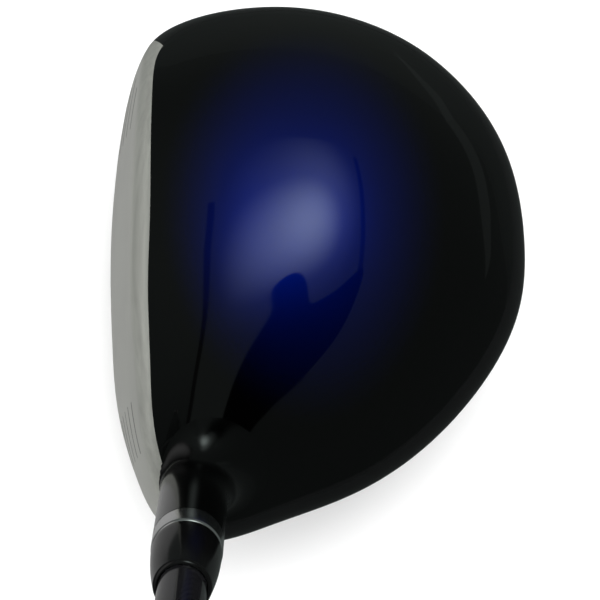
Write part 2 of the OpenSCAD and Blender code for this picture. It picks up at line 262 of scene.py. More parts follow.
def in_face(i, j):
    return FACE_FIRST <= i < FACE_LAST and CROWN_ROWS <= j < SOLE_START + FACE_FOLD_ROWS


def in_skirt(i, j):
    return CROWN_ROWS <= j < UNDERSIDE_ROW and not in_face(i, j)


def in_underside(i, j):
    return j >= UNDERSIDE_ROW and not in_face(i, j)


def new_mesh(name, vertices, faces, normals=None):
    """A smooth mesh with crisp corners and no unused vertices; normals, if given, are per face corner."""
    used = sorted({v for face in faces for v in face})
    place = {v: k for k, v in enumerate(used)}
    mesh = bpy.data.meshes.new(name)
    mesh.from_pydata([tuple(vertices[v]) for v in used], [], [[place[v] for v in face] for face in faces])
    mesh.shade_smooth()
    mesh.set_sharp_from_angle(angle=CRISP_ANGLE)
    if normals:
        mesh.normals_split_custom_set(normals)
    piece = bpy.data.objects.new(name, mesh)
    bpy.context.collection.objects.link(piece)
    return piece


def surface_normals(vertices, faces):
    """Normals of a closed surface, one for each vertex."""
    mesh = bpy.data.meshes.new("whole")
    mesh.from_pydata([tuple(v) for v in vertices], [], faces)
    normals = np.array([tuple(v.normal) for v in mesh.vertices])
    bpy.data.meshes.remove(mesh)
    return normals


HEAD_VERTICES = head_vertices()
WHOLE_HEAD = [cell(i, j) for i in range(COLUMNS) for j in range(LAST_ROW)]
HEAD_NORMALS = surface_normals(HEAD_VERTICES, WHOLE_HEAD)
HEAD_TREE = BVHTree.FromPolygons([tuple(v) for v in HEAD_VERTICES], WHOLE_HEAD)
OPENING_REACH = 0.006


def head_piece(name, belongs, openings=(), thickness_mm=0.8):
    """A skin over the cells that belong to it, left open at each (place, direction, radius)."""
    count = len(HEAD_VERTICES)
    clear = np.ones(count, bool)
    for place, direction, radius in openings:
        offset = HEAD_VERTICES - np.array(place)
        height = offset @ np.array(direction)
        away = np.linalg.norm(offset - np.outer(height, np.array(direction)), axis=1)
        clear &= (away > radius) | (np.abs(height) > OPENING_REACH)
    cells = [cell(i, j) for i in range(COLUMNS) for j in range(LAST_ROW) if belongs(i, j)]
    outer = [face for face in cells if all(clear[v] for v in face)]
    inner = [[v + count for v in reversed(face)] for face in outer]
    edges = {(face[k - 1], face[k]) for face in outer for k in range(len(face))}
    rim = [[b, a, a + count, b + count] for a, b in sorted(edges) if (b, a) not in edges]
    # Every piece takes its normals from the whole head, so that no seam shows between them
    normals = [HEAD_NORMALS[v] for face in outer for v in face]
    normals += [-HEAD_NORMALS[v - count] for face in inner for v in face]
    normals += [(0, 0, 0)] * (4 * len(rim))
    both_sides = np.vstack([HEAD_VERTICES, HEAD_VERTICES - HEAD_NORMALS * thickness_mm * MM])
    return new_mesh(name, both_sides, outer + inner + rim, normals)


# Rows of score lines on the face, in metres: ends along Y for the heel's group and the toe's
SCORE_SPANS = [(-0.0495, -0.0390), (0.0190, 0.0320)]
SCORE_ROWS = 8
SCORE_LOWEST = 0.0090
SCORE_PITCH = 0.0057
SCORE_HALF_WIDTH = 0.00026
SCORE_PROUD = 0.00002
SCORE_DEPTH = 0.0003
SCORE_STEPS = 24
SCORE_FEWEST = 8
BEFORE_FACE = -0.2


def on_flat_face(cell_number):
    """True for a cell of the face between the bends at its top and bottom; None is no cell."""
    if cell_number is None:
        return False
    i, j = divmod(cell_number, LAST_ROW)
    return in_face(i, j) and WALL_START < j < WALL_START + WALL_ROWS


def score_hits(first, last, height):
    """(place, normal) along one row of the face, from one end of a score line to the other."""
    places = [first + (last - first) * k / SCORE_STEPS for k in range(SCORE_STEPS + 1)]
    hits = [HEAD_TREE.ray_cast(Vector((BEFORE_FACE, y, height)), REAR) for y in places]
    return [(place, normal) for place, normal, number, _ in hits if on_flat_face(number)]


def score_lines(name):
    """Paint-filled score lines: thin strips let into the face that follow its curve."""
    vertices = []
    faces = []
    rows = [(first, last, row) for first, last in SCORE_SPANS for row in range(SCORE_ROWS)]
    for first, last, row in rows:
        hits = score_hits(first, last, SCORE_LOWEST + row * SCORE_PITCH)
        if len(hits) < SCORE_FEWEST:
            continue
        start = len(vertices)
        for place, normal in hits:
            across = (Vector((0, 0, 1)) - normal * normal.z).normalized() * SCORE_HALF_WIDTH
            top = place + normal * SCORE_PROUD
            floor = place - normal * SCORE_DEPTH
            vertices += [top + across, top - across, floor - across, floor + across]
        rings = [[start + 4 * k + n for n in range(4)] for k in range(len(hits))]
        for a, b in zip(rings, rings[1:]):
            faces += [[a[n], b[n], b[(n + 1) % 4], a[(n + 1) % 4]] for n in range(4)]
        faces += [rings[0], rings[-1][::-1]]
    return new_mesh(name, vertices, faces)


# ---------------------------------------------------------------- lathe work along the shaft

class Axis:
    """A line that pieces are turned round: a place on it, its direction and one direction across it."""

    def __init__(self, place, direction, across):
        self.place = Vector(place)
        self.up = Vector(direction).normalized()
        self.across = (Vector(across) - self.up * self.up.dot(Vector(across))).normalized()
        self.side = self.up.cross(self.across)

    def point(self, along, out=0.0, angle=0.0):
        """A point up the axis and out from it, both in millimetres."""
        radial = self.across * math.cos(angle) + self.side * math.sin(angle)
        return self.place + (self.up * along + radial * out) * MM


SHAFT = Axis(HOSEL_FOOT, SHAFT_UP, REAR)


def quads_round(count, segments):
    """Faces of a ring-shaped surface whose vertices come profile by profile, each a closed loop."""
    faces = []
    for k in range(segments):
        a = k * count
        b = (k + 1) % segments * count
        faces += [[a + j, b + j, b + (j + 1) % count, a + (j + 1) % count] for j in range(count)]
    return faces


def lathe(name, profile, axis=SHAFT, segments=96, ripple=None):
    """Turns a closed list of (radius, height) round an axis.

    ripple(angle, height, radius) adds to the radius at each point.
    """
    vertices = []
    for k in range(segments):
        angle = 2 * math.pi * k / segments
        for radius, along in profile:
            extra = ripple(angle, along, radius) if ripple else 0.0
            vertices.append(axis.point(along, radius + extra, angle))
    return new_mesh(name, vertices, quads_round(len(profile), segments))


def arc(middle, radius, first, last, steps):
    """Points on an arc of the profile plane; angles in degrees from outward towards the butt."""
    angles = [math.radians(first + (last - first) * k / steps) for k in range(steps + 1)]
    return [(middle[0] + radius * math.cos(a), middle[1] + radius * math.sin(a)) for a in angles]


# ---------------------------------------------------------------- neck that flows into the head

# Width of the neck's round fillet every 45 degrees, from the rear by way of the toe side
FILLET_WIDTH = [8.5, 9.5, 8.0, 2.4, 0.5, 0.5, 1.2, 4.0]
FILLET_STEPS = 28
SLOPE_REACH = 0.7


def around(values, angle):
    """Smooth value at an angle from evenly spaced values round a turn."""
    u = np.array([angle / (2 * math.pi) * len(values)])
    return float(smooth_loop([(v,) for v in values], u)[0, 0])


def head_under_neck(angle, out):
    """Height on the shaft's axis at which a line beside it meets the head, in millimetres."""
    above_head = RING_FOOT + 20
    start = SHAFT.point(above_head, out, angle)
    hit = HEAD_TREE.ray_cast(start, -SHAFT_UP)[0]
    return (hit - HOSEL_FOOT).dot(SHAFT_UP) / MM


def neck_profile(angle):
    """(radius, height) round the neck's wall in one direction; its fillet meets the head along its slope."""
    out = NECK_R + around(FILLET_WIDTH, angle)
    low = head_under_neck(angle, out)
    rise = head_under_neck(angle, out + SLOPE_REACH) - head_under_neck(angle, out - SLOPE_REACH)
    slope = rise / (2 * SLOPE_REACH)
    # The fillet is nearly an arc that turns from the neck's wall to the head's slope
    turn = math.pi / 2 + math.atan(slope)
    radius = (out - NECK_R) / (1 - math.cos(turn))
    high = min(low + radius * math.sin(turn), RING_FOOT - 2)
    pull = 4 / 3 * math.tan(turn / 4) * radius
    a = np.array([NECK_R, high])
    b = np.array([out, low - 0.02])
    p1 = a - np.array([0, min(pull, high - low)])
    p2 = b - unit(np.array([1, slope])) * min(1.5 * pull, 0.8 * (out - NECK_R))
    fillet = [tuple(bezier(a, p1, p2, b, k / FILLET_STEPS)) for k in range(FILLET_STEPS + 1)]
    inside = [(out - 1, low - 2), (BORE_R, low - 4), (BORE_R, RING_FOOT)]
    return [(NECK_R, RING_FOOT), (NECK_R, (RING_FOOT + high) / 2)] + fillet + inside


def neck_skin(name, segments=160):
    """The neck with its bore, flared into the head by a different width in each direction."""
    angles = [2 * math.pi * k / segments for k in range(segments)]
    rows = [[SHAFT.point(along, radius, angle) for radius, along in neck_profile(angle)] for angle in angles]
    faces = [[a, d, c, b] for a, b, c, d in quads_round(len(rows[0]), segments)]
    return new_mesh(name, [place for row in rows for place in row], faces)


# ---------------------------------------------------------------- materials

class Paint:
    """A material with a Principled shader and short calls for its node tree."""

    def __init__(self, name, **sockets):
        self.material = bpy.data.materials.new(name)
        self.material.use_nodes = True
        self.tree = self.material.node_tree
        self.shader = self.tree.nodes["Principled BSDF"]
        for socket, value in sockets.items():
            self.shader.inputs[socket.replace("_", " ")].default_value = value
        self.place = self.add("ShaderNodeTexCoord").outputs["Object"]

    def add(self, kind, **settings):
        node = self.tree.nodes.new(kind)
        for key, value in settings.items():
            setattr(node, key, value)
        return node

    def link(self, source, target):
        """Sets a fixed value on a socket, or joins it to another node's output."""
        if isinstance(source, (int, float, tuple, Vector)):
            target.default_value = source
        else:
            self.tree.links.new(source, target)

    def math(self, operation, a, b=0.0):
        node = self.add("ShaderNodeMath", operation=operation)
        self.link(a, node.inputs[0])
        self.link(b, node.inputs[1])
        return node.outputs[0]

    def vector(self, operation, a, b=(0, 0, 0)):
        """A vector node; each of a and b is a fixed vector or another node's output."""
        node = self.add("ShaderNodeVectorMath", operation=operation)
        self.link(a, node.inputs[0])
        self.link(b, node.inputs[1])
        return node

    def stretched(self, scale):
        node = self.add("ShaderNodeMapping")
        self.link(self.place, node.inputs["Vector"])
        node.inputs["Scale"].default_value = scale
        return node.outputs[0]

    def noise(self, scale, vector=None, detail=4.0, roughness=0.5):
        node = self.add("ShaderNodeTexNoise")
        self.link(vector or self.place, node.inputs["Vector"])
        node.inputs["Scale"].default_value = scale
        node.inputs["Detail"].default_value = detail
        node.inputs["Roughness"].default_value = roughness
        return node.outputs["Fac"]

    def span(self, value, low, high, new_low=0.0, new_high=1.0, smooth=False):
        node = self.add("ShaderNodeMapRange", interpolation_type="SMOOTHSTEP" if smooth else "LINEAR")
        self.link(value, node.inputs["Value"])
        sockets = {"From Min": low, "From Max": high, "To Min": new_low, "To Max": new_high}
        for socket, number in sockets.items():
            node.inputs[socket].default_value = number
        return node.outputs[0]

    def mix(self, share, a, b):
        node = self.add("ShaderNodeMix", data_type="RGBA")
        self.link(share, node.inputs["Factor"])
        self.link(a, node.inputs["A"])
        self.link(b, node.inputs["B"])
        return node.outputs["Result"]

    def bump(self, height, strength, distance):
        node = self.add("ShaderNodeBump")
        node.inputs["Strength"].default_value = strength
        node.inputs["Distance"].default_value = distance
        self.link(height, node.inputs["Height"])
        self.link(node.outputs[0], self.shader.inputs["Normal"])

    def color(self, source):
        self.link(source, self.shader.inputs["Base Color"])

    def roughness(self, source):
        self.link(source, self.shader.inputs["Roughness"])


def rgb(r, g, b):
    return (r, g, b, 1.0)


# Oval on the crown in which the flakes are navy, in metres: a painted glow of the light, with painted black
# shade outside it
PAINTED_GLOW_MIDDLE_X = 0.001
PAINTED_GLOW_REACH_X = 0.027
PAINTED_GLOW_REACH_Y = 0.041


def crown_paint(name, coat_roughness=0.04):
    """Clear-coated navy flake paint with painted light: a painted glow in the middle of the crown, painted
    black shade at its edges.
    """
    paint = Paint(name, Metallic=0.95, Specular_IOR_Level=0.0,
                  Coat_Weight=1.0, Coat_Roughness=coat_roughness, Coat_IOR=1.5)
    split = paint.add("ShaderNodeSeparateXYZ")
    paint.link(paint.place, split.inputs[0])
    across = paint.math("DIVIDE", paint.math("SUBTRACT", split.outputs["X"], PAINTED_GLOW_MIDDLE_X), PAINTED_GLOW_REACH_X)
    along = paint.math("DIVIDE", split.outputs["Y"], PAINTED_GLOW_REACH_Y)
    far = paint.math("SQRT", paint.math("ADD", paint.math("POWER", across, 2), paint.math("POWER", along, 2)))
    # Painted light: the navy glow of the lamp fades into painted black shade towards the crown's edges
    painted_glow_share = paint.span(far, 0.35, 1.1, 1.0, 0.0, smooth=True)
    flake = paint.add("ShaderNodeTexVoronoi")
    flake.inputs["Scale"].default_value = 9000
    sparkle = paint.span(flake.outputs["Distance"], 0.0, 0.7, 1.25, 0.75)
    painted_glow_colour = paint.mix(painted_glow_share, rgb(0.001, 0.001, 0.001), rgb(0.0, 0.010, 0.22))
    speck = paint.add("ShaderNodeVectorMath", operation="SCALE")
    paint.link(painted_glow_colour, speck.inputs[0])
    paint.link(sparkle, speck.inputs["Scale"])
    paint.color(speck.outputs[0])
    paint.roughness(paint.span(paint.noise(60), 0.3, 0.7, 0.32, 0.38))
    return paint.material


def gloss_black(name, haze=0.08, coat_roughness=0.08):
    """Deep gloss paint with the slight waviness and fine dust of a sprayed finish."""
    paint = Paint(name, Coat_Weight=1.0, Coat_Roughness=coat_roughness, Specular_IOR_Level=0.0)
    paint.color(paint.mix(paint.noise(300), rgb(0.001, 0.001, 0.001), rgb(0.002, 0.002, 0.0022)))
    paint.roughness(paint.span(paint.noise(120), 0.3, 0.7, haze, haze + 0.05))
    paint.bump(paint.noise(900), 0.02, 0.0001)
    return paint.material


def brushed(name, dark, light, rough=(0.28, 0.42), grain=(900, 10, 900), metallic=1.0):
    """Metal brushed along one direction: the grain's scale is small along the strokes."""
    paint = Paint(name, Metallic=metallic, Anisotropic=0.5)
    strokes = paint.noise(1.0, paint.stretched(grain), detail=6, roughness=0.6)
    patches = paint.noise(35)
    share = paint.math("ADD", paint.math("MULTIPLY", strokes, 0.75), paint.math("MULTIPLY", patches, 0.25))
    paint.color(paint.mix(paint.span(share, 0.3, 0.7), dark, light))
    paint.roughness(paint.span(strokes, 0.3, 0.7, *rough))
    paint.bump(strokes, 0.12, 0.0002)
    return paint.material


def darker(tint, share):
    return rgb(*(share * part for part in tint[:3]))


def plated(name, tint, rough=0.05):
    """Bright plated metal with fine turning marks."""
    paint = Paint(name, Metallic=1.0)
    marks = paint.noise(1.0, paint.stretched((2000, 150, 150)))
    paint.color(paint.mix(paint.noise(500), tint, darker(tint, 0.9)))
    paint.roughness(paint.span(marks, 0.3, 0.7, rough, rough + 0.07))
    return paint.material


def plain_grain(name, dark, light, rough, scale, bump, metallic=0.0):
    """Fine-grained surface for foam, resin, cork, tape, castings and the like."""
    paint = Paint(name, Metallic=metallic)
    grain = paint.noise(scale, detail=8, roughness=0.7)
    paint.color(paint.mix(paint.span(grain, 0.35, 0.65), dark, light))
    paint.roughness(paint.span(grain, 0.3, 0.7, rough - 0.08, rough + 0.08))
    paint.bump(grain, bump, 0.0004)
    return paint.material


def turned_metal(name, tint, rough):
    """Turned metal with a fine glint and faint smudges."""
    paint = Paint(name, Metallic=1.0)
    smudge = paint.noise(80, detail=6)
    paint.color(paint.mix(paint.span(smudge, 0.3, 0.7), tint, darker(tint, 0.85)))
    paint.roughness(paint.span(smudge, 0.3, 0.7, rough, rough + 0.12))
    paint.bump(paint.noise(3000), 0.04, 0.0001)
    return paint.material


def sole_finish():
    """Satin black underside with a fine metallic grain and light scuffs from the turf."""
    paint = Paint("sole_paint", Metallic=0.5, Coat_Weight=0.3, Coat_Roughness=0.25)
    grain = paint.noise(2500, detail=3)
    scuffs = paint.span(paint.noise(1.0, paint.stretched((40, 500, 40)), detail=8), 0.62, 0.72)
    base = paint.mix(grain, rgb(0.010, 0.010, 0.012), rgb(0.026, 0.026, 0.03))
    paint.color(paint.mix(paint.math("MULTIPLY", scuffs, 0.35), base, rgb(0.09, 0.09, 0.09)))
    paint.roughness(paint.span(grain, 0.3, 0.7, 0.36, 0.46))
    paint.bump(grain, 0.05, 0.0001)
    return paint.material


# Silver bands on the shaft: their middles up its axis, in metres
SHAFT_BANDS = (0.862, 0.868)
BAND_HALF_WIDTH = 0.0008


def shaft_finish():
    """Gloss black over wound fibre, with two thin silver bands below the grip."""
    paint = Paint("shaft_paint", Specular_IOR_Level=0.0, Coat_Weight=1.0, Coat_Roughness=0.12)
    offset = paint.vector("SUBTRACT", paint.place, HOSEL_FOOT)
    along = paint.vector("DOT_PRODUCT", offset.outputs[0], SHAFT_UP).outputs["Value"]
    weave = paint.add("ShaderNodeTexWave", wave_type="BANDS", bands_direction="DIAGONAL")
    weave.inputs["Scale"].default_value = 900
    weave.inputs["Distortion"].default_value = 0.6
    paint.link(paint.place, weave.inputs["Vector"])
    fibre = paint.mix(weave.outputs["Fac"], rgb(0.0035, 0.0035, 0.004), rgb(0.007, 0.007, 0.008))
    bands = 0.0
    for middle in SHAFT_BANDS:
        near = paint.math("ABSOLUTE", paint.math("SUBTRACT", along, middle))
        bands = paint.math("ADD", bands, paint.math("LESS_THAN", near, BAND_HALF_WIDTH))
    paint.color(paint.mix(bands, fibre, rgb(0.45, 0.45, 0.47)))
    paint.link(bands, paint.shader.inputs["Metallic"])
    paint.roughness(paint.span(paint.noise(200), 0.3, 0.7, 0.08, 0.14))
    return paint.material


def grip_finish():
    """Moulded rubber: matte, finely pitted, a little dusty."""
    paint = Paint("grip_rubber", Sheen_Weight=0.15, Sheen_Roughness=0.5)
    pits = paint.noise(3500, detail=3)
    dust = paint.noise(25, detail=6)
    paint.color(paint.mix(paint.span(dust, 0.4, 0.75), rgb(0.011, 0.011, 0.012), rgb(0.03, 0.03, 0.029)))
    paint.roughness(paint.span(pits, 0.3, 0.7, 0.62, 0.8))
    paint.bump(pits, 0.25, 0.0002)
    return paint.material


def assign(piece, material):
    piece.data.materials.clear()
    piece.data.materials.append(material)


# ---------------------------------------------------------------- pieces

def finish_piece(piece, material, slot, *nodes, body="club"):
    """Gives a piece its material, puts it under the empty of its body and hides the CAD nodes it stands for;
    the slot argument is not used.
    """
    assign(piece, material)
    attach(piece, body)
    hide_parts(*nodes)


def shaft_radius(along):
    """Outer radius of the shaft, parallel inside the head and tapered above it."""
    if along < RING_TOP:
        return TIP_R
    return TIP_R + (BUTT_R - TIP_R) * (along - RING_TOP) / (SHAFT_BUTT - RING_TOP)


def joint(name):
    return next(j for j in frame["record"]["behaviour"]["joints"] if j["name"] == name)


def port_axis(side):
    turn = joint(side + "_screw_turn")
    return Axis(turn["pos_m"], turn["axis"], (0, 0, 1))


SIDES = ("toe", "heel")
PORTS = {side: port_axis(side) for side in SIDES}
DOWN = Axis((0, 0, 0), (0, 0, -1), (1, 0, 0))

# Weight ports in millimetres, heights measured outwards along each port's axis
PORT_R = 9.65
PORT_OPENING_R = 8.3
PORT_FOOT = -13.5
POCKET_R = 7.45
WEIGHT_R = 7.4
SCREW_HEAD_R = 4.2
SCREW_R = 2.45
SLIP = 0.05
PORT_PROUD = 0.3
POCKET_FLOOR = PORT_PROUD - 5.8
WEIGHT_TOP = POCKET_FLOOR + 5
HEAD_SEAT = WEIGHT_TOP - 2.4
WASHER_SEAT = HEAD_SEAT - 0.6
SCREW_LENGTH = 12
THREAD_START = 4.4
THREAD_PITCH = 0.8
THREAD_TURNS = 9
THREAD_DEPTH = 0.4
SOCKET_R = 1.95
SOCKET_DEPTH = 1.6

BADGE_R = 14
BADGE_OPENING_R = 12.5
BADGE_GROOVES = 18
BADGE_GROOVE_PITCH = 0.68


def make_head():
    openings = [(PORTS[side].place, PORTS[side].up, PORT_OPENING_R * MM) for side in SIDES]
    openings.append((DOWN.place, DOWN.up, BADGE_OPENING_R * MM))
    crown = head_piece("crown_skin", in_crown)
    finish_piece(crown, crown_paint("crown_paint"), "crown_paint", "crown_shell")
    face = head_piece("face_skin", in_face, thickness_mm=2.0)
    metal = brushed("brushed_face", rgb(0.325, 0.33, 0.305), rgb(0.45, 0.46, 0.42), metallic=0.6)
    finish_piece(face, metal, "brushed_face", "face_cup")
    score_paint = plain_grain("score_paint", rgb(0.05, 0.05, 0.05), rgb(0.09, 0.09, 0.09), 0.6, 2000, 0.1)
    finish_piece(score_lines("score_lines"), score_paint, "brushed_face", "face_cup")
    skirt = head_piece("skirt_skin", in_skirt)
    finish_piece(skirt, gloss_black("skirt_paint"), "sole_paint", "sole_shell")
    underside = head_piece("sole_skin", in_underside, openings)
    finish_piece(underside, sole_finish(), "sole_paint", "sole_shell")


def make_neck():
    paint = crown_paint("neck_paint", coat_roughness=0.16)
    finish_piece(neck_skin("neck_skin"), paint, "neck_paint", "hosel_neck")


def make_ring():
    foot_round = 0.25
    top_round = 0.8
    foot_bend = arc((NECK_R - foot_round, RING_FOOT + foot_round), foot_round, -90, 0, 5)
    top_bend = arc((NECK_R - top_round, RING_TOP - top_round), top_round, 0, 75, 10)
    profile = [(BORE_R, RING_FOOT)] + foot_bend + top_bend + [(BORE_R, RING_TOP)]
    ring = lathe("ring_turned", profile, segments=128)
    finish_piece(ring, plated("bright_ring", rgb(0.80, 0.80, 0.80), rough=0.2), "bright_ring", "hosel_ring")


def make_ferrule():
    """A slightly swollen taper with a sharp foot and a rounded tip."""
    foot = NECK_R - 0.12
    tip = 5.4
    tip_round = 0.75
    swell = 0.25
    steps = 10
    first = RING_TOP + 0.4
    rise = FERRULE_TOP - 1.1 - RING_TOP
    inside = BORE_R + SLIP
    profile = [(inside, RING_TOP), (foot - 0.25, RING_TOP), (foot - 0.06, RING_TOP + 0.12)]
    for k in range(steps + 1):
        radius = foot + (tip - foot) * k / steps + swell * math.sin(math.pi * k / steps)
        profile.append((radius, first + rise * k / steps))
    profile += arc((tip - tip_round, FERRULE_TOP - tip_round), tip_round, 8, 90, 8)
    profile.append((inside, FERRULE_TOP))
    ferrule = lathe("ferrule_turned", profile, segments=128)
    paint = gloss_black("ferrule_gloss", haze=0.03, coat_roughness=0.14)
    finish_piece(ferrule, paint, "ferrule_gloss", "ferrule")


def make_shaft(steps=60):
    places = [SHAFT_TIP + (SHAFT_BUTT - SHAFT_TIP) * k / steps for k in range(steps + 1)]
    outer = [(shaft_radius(along), along) for along in places]
    inner = [(radius - SHAFT_WALL, along) for radius, along in reversed(outer)]
    shaft = lathe("shaft_tube", outer + inner)
    finish_piece(shaft, shaft_finish(), "shaft_paint", "shaft")


# Grip in millimetres: its lip, its shoulder, and its tread of dimples between plain grooved ends
GRIP_MOUTH_R = 9.5
GRIP_LIP = 0.8
GRIP_LIP_LENGTH = 3
GRIP_SHOULDER = 0.6
GRIP_SWELL = 3.1
TREAD_AFTER_MOUTH = 16
TREAD_BEFORE_CAP = 22
DIMPLE_ROW = 4.0
DIMPLES_ROUND = 16
DIMPLE_DEPTH = 0.5
GROOVES_AFTER_MOUTH = (8, 11, 14)
GROOVES_BEFORE_CAP = (8, 12, 16)
GROOVE_DEPTH = 0.35
GROOVE_HALF_WIDTH = 0.5


def grip_radius(along):
    """Outer radius of the grip: a lip at its mouth, a slow taper and a fuller end."""
    share = (along - GRIP_MOUTH) / (SHAFT_BUTT - GRIP_MOUTH)
    lip = GRIP_LIP * max(0.0, 1 - (along - GRIP_MOUTH) / GRIP_LIP_LENGTH) ** 2
    return GRIP_MOUTH_R - lip + GRIP_SHOULDER * min(1.0, share * 4) + GRIP_SWELL * max(0.0, share) ** 1.25


def groove_depth(distance):
    """Depth of a groove at a distance from its middle."""
    return GROOVE_DEPTH * max(0.0, 1 - abs(distance) / GROOVE_HALF_WIDTH)


def grip_tread(angle, along, radius):
    """Shallow staggered dimples in rows, framed by plain bands with turned grooves."""
    is_inside = radius < shaft_radius(along) + 0.6
    if is_inside:
        return 0.0
    depth = 0.0
    from_mouth = along - GRIP_MOUTH
    to_cap = SHAFT_BUTT - along
    if from_mouth > TREAD_AFTER_MOUTH and to_cap > TREAD_BEFORE_CAP:
        row = (from_mouth - TREAD_AFTER_MOUTH) / DIMPLE_ROW
        column = angle / (2 * math.pi) * DIMPLES_ROUND + 0.5 * (math.floor(row) % 2)
        hollow = math.sin(math.pi * (row % 1)) * math.sin(math.pi * (column % 1))
        depth = DIMPLE_DEPTH * max(0.0, hollow - 0.2)
    distances = [from_mouth - groove for groove in GROOVES_AFTER_MOUTH]
    distances += [to_cap - groove for groove in GROOVES_BEFORE_CAP]
    return -max(depth, *(groove_depth(distance) for distance in distances))


def make_grip(steps=520):
    places = [GRIP_MOUTH + (SHAFT_BUTT - GRIP_MOUTH) * k / steps for k in range(steps + 1)]
    outer = [(grip_radius(along), along) for along in places]
    inner = [(shaft_radius(along) + TAPE_THICKNESS, along)
             for along in (SHAFT_BUTT, (SHAFT_BUTT + GRIP_MOUTH) / 2, GRIP_MOUTH)]
    grip = lathe("grip_rubber_tread", outer + inner, segments=160, ripple=grip_tread)
    finish_piece(grip, grip_finish(), "grip_rubber", "grip_sleeve")


def make_grip_cap():
    """Hard cap with a rounded rim, a shallow dish in its end and the vent hole in the middle."""
    rim_round = 1.6
    chamfer = 0.5
    dish = 0.4
    dish_r = CAP_R - 3.0
    boss_r = 5.0
    profile = [(VENT_R, SHAFT_BUTT), (CAP_R - chamfer, SHAFT_BUTT), (CAP_R, SHAFT_BUTT + chamfer)]
    profile += arc((CAP_R - rim_round, CLUB_LENGTH - rim_round), rim_round, 0, 90, 10)
    profile += [(dish_r, CLUB_LENGTH), (dish_r - dish, CLUB_LENGTH - dish),
                (boss_r, CLUB_LENGTH - dish), (boss_r - dish, CLUB_LENGTH),
                (VENT_R + chamfer, CLUB_LENGTH), (VENT_R, CLUB_LENGTH - chamfer)]
    cap = lathe("grip_cap_moulded", profile, segments=128)
    plastic = plain_grain("grip_cap_plastic", rgb(0.012, 0.012, 0.012), rgb(0.022, 0.022, 0.022),
                          0.55, 900, 0.15)
    finish_piece(cap, plastic, "grip_cap_plastic", "grip_cap")


def make_badge():
    """Flat disc with fine turned grooves, which the sole rests on."""
    thickness = 0.9
    edge_round = 0.4
    groove_half = 0.2
    groove_depth_mm = 0.035
    profile = [(0.02, -thickness), (0.02, 0.0)]
    for k in range(BADGE_GROOVES):
        out = 1.0 + k * BADGE_GROOVE_PITCH
        profile += [(out, 0.0), (out + groove_half, -groove_depth_mm), (out + 2 * groove_half, 0.0)]
    profile += arc((BADGE_R - edge_round, -edge_round), edge_round, 90, 0, 5) + [(BADGE_R, -thickness)]
    badge = lathe("sole_badge_turned", profile, DOWN, segments=128)
    finish_piece(badge, turned_metal("badge_metal", rgb(0.5, 0.51, 0.53), 0.22), "badge_metal", "sole_badge")


def weight_metals():
    """Materials of a weight's port, slug, washer and screw, shared by the two weights."""
    grain = (300, 300, 300)
    return {
        "port": turned_metal("port_metal", rgb(0.36, 0.36, 0.37), 0.3),
        "slug": brushed("weight_metal", rgb(0.30, 0.29, 0.27), rgb(0.46, 0.45, 0.42), grain=grain),
        "screw": plain_grain("screw_steel", rgb(0.03, 0.03, 0.033), rgb(0.07, 0.07, 0.075),
                             0.35, 1500, 0.1, 1.0),
        "washer": plated("washer_zinc", rgb(0.7, 0.7, 0.72)),
    }


def make_port(side, metal):
    """Threaded port welded into the sole, with a stepped rim."""
    port = lathe(side + "_port_turned", [
        (PORT_R, -8), (PORT_R, PORT_PROUD - 0.35), (PORT_R - 0.35, PORT_PROUD), (POCKET_R + 0.4, PORT_PROUD),
        (POCKET_R, PORT_PROUD - 0.4), (POCKET_R, POCKET_FLOOR), (SCREW_R + SLIP, POCKET_FLOOR),
        (SCREW_R + SLIP, PORT_FOOT), (PORT_R - 1, PORT_FOOT), (PORT_R, PORT_FOOT + 1)], PORTS[side])
    finish_piece(port, metal, "bare_metal", side + "_weight_port")


def make_slug(side, metal):
    """Dense weight with one shallow groove round the recess for its screw."""
    groove_floor = WEIGHT_TOP - 0.15
    slug = lathe(side + "_slug_turned", [
        (SCREW_R + SLIP, POCKET_FLOOR), (WEIGHT_R - 0.3, POCKET_FLOOR), (WEIGHT_R, POCKET_FLOOR + 0.3),
        (WEIGHT_R, WEIGHT_TOP - 0.5), (WEIGHT_R - 0.5, WEIGHT_TOP),
        (6.6, WEIGHT_TOP), (6.4, groove_floor), (6.0, groove_floor), (5.8, WEIGHT_TOP),
        (SCREW_HEAD_R + 0.35, WEIGHT_TOP), (SCREW_HEAD_R + SLIP, WEIGHT_TOP - 0.3),
        (SCREW_HEAD_R + SLIP, WASHER_SEAT), (SCREW_R + SLIP, WASHER_SEAT)], PORTS[side])
    finish_piece(slug, metal, "weight_metal", side + "_weight_slug", body=side + "_weight")


def make_washer(side, metal):
    washer = lathe(side + "_washer_turned", [
        (SCREW_R + SLIP, WASHER_SEAT), (SCREW_HEAD_R, WASHER_SEAT), (SCREW_HEAD_R, HEAD_SEAT - 0.15),
        (SCREW_HEAD_R - 0.15, HEAD_SEAT), (SCREW_R + SLIP, HEAD_SEAT)], PORTS[side])
    finish_piece(washer, metal, "bright_ring", side + "_weight_washer", body=side + "_weight")


def socket_lobes(angle, along, radius):
    """Six lobes in the wall of the driver socket, shallower towards its middle."""
    depth = 0.32
    if radius > SOCKET_R + 0.2:
        return 0.0
    return depth * math.cos(6 * angle) * min(1.0, 2.2 - abs(radius - SOCKET_R))


